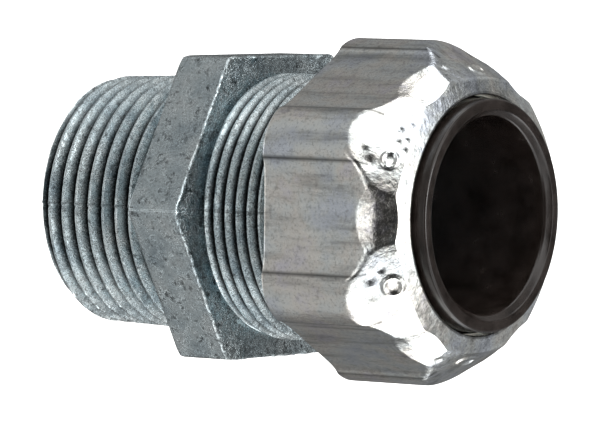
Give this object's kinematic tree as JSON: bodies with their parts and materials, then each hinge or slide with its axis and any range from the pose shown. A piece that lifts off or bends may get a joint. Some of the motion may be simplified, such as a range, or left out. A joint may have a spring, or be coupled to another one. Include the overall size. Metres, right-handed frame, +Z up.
{
  "type": "strain relief compression fitting",
  "caption": "Straight threaded compression fitting: a hex body with a tapered pipe thread, and a gland nut that squeezes a rubber bushing onto a cord or conduit.",
  "frame": {"origin": "on the fitting's axis, in the plane of the hex shoulder that meets the box wall", "axes": "+X along the axis towards the cord side, +Z up, with a hex flat facing up"},
  "size_m": [0.0493, 0.0362, 0.0354],
  "materials": {
    "cast_zinc": "bright as-cast zinc, fine grain",
    "plated_steel": "bright zinc plate, satin sides",
    "ring_nylon": "natural nylon",
    "black_rubber": "moulded, semi-gloss",
    "spring_steel": "drawn stainless wire"
  },
  "bodies": {
    "hub": {"hub_body": "cast_zinc"},
    "slip_ring": {"slip_ring": "ring_nylon"},
    "nut": {"gland_nut": "plated_steel"},
    "bushing": {"sealing_bushing": "black_rubber", "grip_ring": "spring_steel"}
  },
  "joints": [
    {"name": "slip_ring_slide", "type": "slide", "parent": "hub", "child": "slip_ring", "axis": [1, 0, 0], "range_m": [-0.0036, 0.005]},
    {"name": "nut_turn", "type": "hinge", "parent": "slip_ring", "child": "nut", "pos_m": [0.024, 0, 0], "axis": [1, 0, 0], "range_deg": [-900, 1260]},
    {"name": "bushing_slide", "type": "slide", "parent": "hub", "child": "bushing", "axis": [1, 0, 0], "range_m": [-0.0036, 0.005]}
  ],
  "couplings": [
    {"joint": "slip_ring_slide", "follows": "nut_turn", "m_per_rad": 0.00022457},
    {"joint": "bushing_slide", "follows": "nut_turn", "m_per_rad": 0.00022457}
  ]
}
